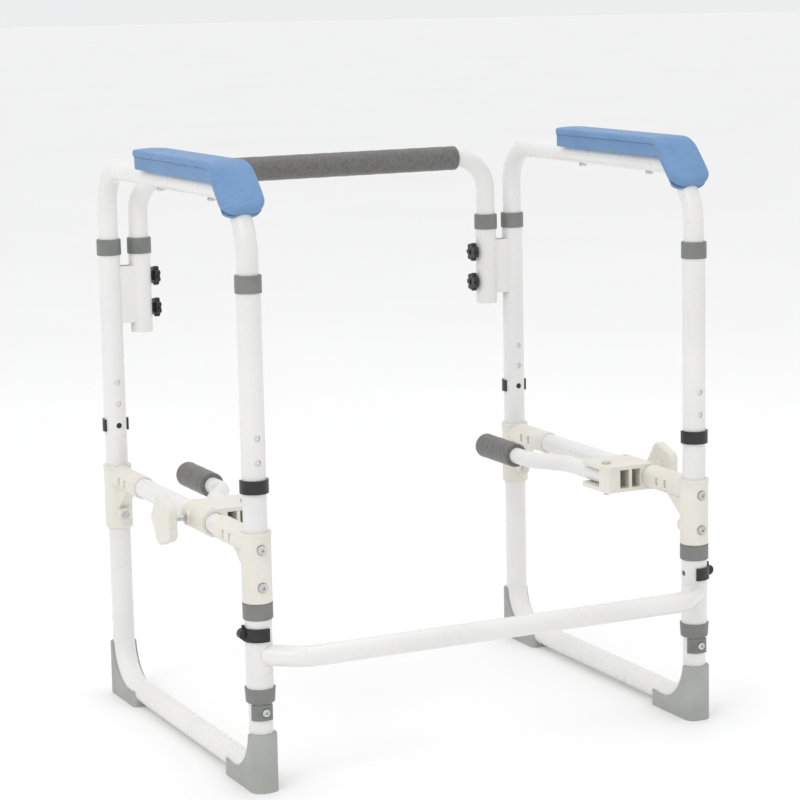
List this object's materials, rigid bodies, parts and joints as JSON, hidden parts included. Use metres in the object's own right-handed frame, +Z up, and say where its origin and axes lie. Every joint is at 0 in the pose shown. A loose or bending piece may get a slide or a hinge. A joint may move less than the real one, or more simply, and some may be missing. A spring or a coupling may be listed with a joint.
{
  "type": "toilet safety frame",
  "caption": "Free-standing steel tube frame round a toilet, with height-adjusting padded armrests, a padded back bar, a bowed front bar and two sliding foam clamps.",
  "frame": {"origin": "on the floor, in the middle of the outline seen from above", "axes": "+Z up, +Y towards the back bar, +X to the right seen from the front; left and right are named from there"},
  "size_m": [0.621, 0.4864, 0.653],
  "materials": {
    "white_tube": "white powder coat with a light orange peel, satin to gloss",
    "white_plastic": "moulded off-white plastic, fine texture",
    "grey_plastic": "moulded mid grey plastic",
    "boot_rubber": "moulded light grey rubber, matt",
    "black_plastic": "moulded black plastic, satin",
    "dark_foam": "closed-cell foam sleeve, matt",
    "blue_pad": "soft moulded pad with a pebble grain",
    "steel": "zinc-plated steel"
  },
  "bodies": {
    "frame": {"base_tube_left": "white_tube", "side_rail_left": "white_tube", "sleeve_left": "white_tube", "sleeve_collar_upper_left": "grey_plastic", "sleeve_collar_lower_left": "grey_plastic", "stop_clip_left": "grey_plastic", "receiver_left": "white_tube", "receiver_collar_left": "grey_plastic", "leg_collars_left": "grey_plastic", "boot_front_left": "boot_rubber", "tee_front_left": "white_plastic", "boot_rear_left": "boot_rubber", "tee_rear_left": "white_plastic", "base_tube_right": "white_tube", "side_rail_right": "white_tube", "sleeve_right": "white_tube", "sleeve_collar_upper_right": "grey_plastic", "sleeve_collar_lower_right": "grey_plastic", "stop_clip_right": "grey_plastic", "receiver_right": "white_tube", "receiver_collar_right": "grey_plastic", "leg_collars_right": "grey_plastic", "boot_front_right": "boot_rubber", "tee_front_right": "white_plastic", "boot_rear_right": "boot_rubber", "tee_rear_right": "white_plastic", "tee_bolts": "steel", "stop_screws": "steel", "receiver_plates": "white_tube", "front_crossbar": "white_tube"},
    "back_bar": {"back_bar_tube": "white_tube", "back_bar_foam": "dark_foam"},
    "arm_left": {"arm_tube_left": "white_tube", "armrest_left": "blue_pad", "armrest_screws_left": "steel"},
    "height_clip_front_left": {"height_clip_front_left": "black_plastic"},
    "height_clip_rear_left": {"height_clip_rear_left": "black_plastic"},
    "lock_clip_left": {"lock_clip_left": "black_plastic"},
    "star_knob_upper_left": {"star_knob_upper_left": "black_plastic"},
    "star_knob_lower_left": {"star_knob_lower_left": "black_plastic"},
    "clamp_left": {"clamp_bracket_left": "white_plastic", "pivot_bolt_left": "steel"},
    "roller_left": {"roller_arm_left": "white_tube", "roller_foam_left": "dark_foam"},
    "hand_knob_left": {"hand_knob_left": "white_plastic", "clamp_stud_left": "steel"},
    "arm_right": {"arm_tube_right": "white_tube", "armrest_right": "blue_pad", "armrest_screws_right": "steel"},
    "height_clip_front_right": {"height_clip_front_right": "black_plastic"},
    "height_clip_rear_right": {"height_clip_rear_right": "black_plastic"},
    "lock_clip_right": {"lock_clip_right": "black_plastic"},
    "star_knob_upper_right": {"star_knob_upper_right": "black_plastic"},
    "star_knob_lower_right": {"star_knob_lower_right": "black_plastic"},
    "clamp_right": {"clamp_bracket_right": "white_plastic", "pivot_bolt_right": "steel"},
    "roller_right": {"roller_arm_right": "white_tube", "roller_foam_right": "dark_foam"},
    "hand_knob_right": {"hand_knob_right": "white_plastic", "clamp_stud_right": "steel"}
  },
  "joints": [
    {"name": "back_bar_slide", "type": "slide", "parent": "frame", "child": "back_bar", "axis": [0, 0, 1], "range_m": [-0.02, 0.05]},
    {"name": "arm_left_slide", "type": "slide", "parent": "frame", "child": "arm_left", "axis": [0, 0, 1], "range_m": [0, 0.0508], "deforming": ["height_clip_front_left", "height_clip_rear_left"]},
    {"name": "height_clip_front_left_pull", "type": "slide", "parent": "arm_left", "child": "height_clip_front_left", "axis": [0, -1, 0], "range_m": [0, 0.032], "deforming": ["height_clip_front_left"]},
    {"name": "height_clip_rear_left_pull", "type": "slide", "parent": "arm_left", "child": "height_clip_rear_left", "axis": [0, 1, 0], "range_m": [0, 0.032], "deforming": ["height_clip_rear_left"]},
    {"name": "lock_clip_left_pull", "type": "slide", "parent": "frame", "child": "lock_clip_left", "axis": [-1, 0, 0], "range_m": [0, 0.032], "deforming": ["lock_clip_left"]},
    {"name": "star_knob_upper_left_turn", "type": "hinge", "parent": "frame", "child": "star_knob_upper_left", "pos_m": [-0.2085, 0.22493, 0.494], "axis": [1, 0, 0], "range_deg": [0, 360]},
    {"name": "star_knob_lower_left_turn", "type": "hinge", "parent": "frame", "child": "star_knob_lower_left", "pos_m": [-0.2085, 0.22493, 0.457], "axis": [1, 0, 0], "range_deg": [0, 360]},
    {"name": "clamp_left_slide", "type": "slide", "parent": "frame", "child": "clamp_left", "axis": [0, 1, 0], "range_m": [-0.022, 0.15]},
    {"name": "roller_left_swivel", "type": "hinge", "parent": "clamp_left", "child": "roller_left", "pos_m": [-0.219, -0.05758, 0.2625], "axis": [0, 0, -1], "range_deg": [-8, 20]},
    {"name": "hand_knob_left_turn", "type": "hinge", "parent": "clamp_left", "child": "hand_knob_left", "pos_m": [-0.305, -0.04057, 0.2625], "axis": [-1, 0, 0], "range_deg": [0, 360]},
    {"name": "arm_right_slide", "type": "slide", "parent": "frame", "child": "arm_right", "axis": [0, 0, 1], "range_m": [0, 0.0508], "deforming": ["height_clip_front_right", "height_clip_rear_right"]},
    {"name": "height_clip_front_right_pull", "type": "slide", "parent": "arm_right", "child": "height_clip_front_right", "axis": [0, -1, 0], "range_m": [0, 0.032], "deforming": ["height_clip_front_right"]},
    {"name": "height_clip_rear_right_pull", "type": "slide", "parent": "arm_right", "child": "height_clip_rear_right", "axis": [0, 1, 0], "range_m": [0, 0.032], "deforming": ["height_clip_rear_right"]},
    {"name": "lock_clip_right_pull", "type": "slide", "parent": "frame", "child": "lock_clip_right", "axis": [1, 0, 0], "range_m": [0, 0.032], "deforming": ["lock_clip_right"]},
    {"name": "star_knob_upper_right_turn", "type": "hinge", "parent": "frame", "child": "star_knob_upper_right", "pos_m": [0.2085, 0.22493, 0.494], "axis": [-1, 0, 0], "range_deg": [0, 360]},
    {"name": "star_knob_lower_right_turn", "type": "hinge", "parent": "frame", "child": "star_knob_lower_right", "pos_m": [0.2085, 0.22493, 0.457], "axis": [-1, 0, 0], "range_deg": [0, 360]},
    {"name": "clamp_right_slide", "type": "slide", "parent": "frame", "child": "clamp_right", "axis": [0, 1, 0], "range_m": [0, 0.172]},
    {"name": "roller_right_swivel", "type": "hinge", "parent": "clamp_right", "child": "roller_right", "pos_m": [0.219, -0.08057, 0.2625], "axis": [0, 0, 1], "range_deg": [-8, 20]},
    {"name": "hand_knob_right_turn", "type": "hinge", "parent": "clamp_right", "child": "hand_knob_right", "pos_m": [0.305, -0.06358, 0.2625], "axis": [1, 0, 0], "range_deg": [0, 360]}
  ]
}
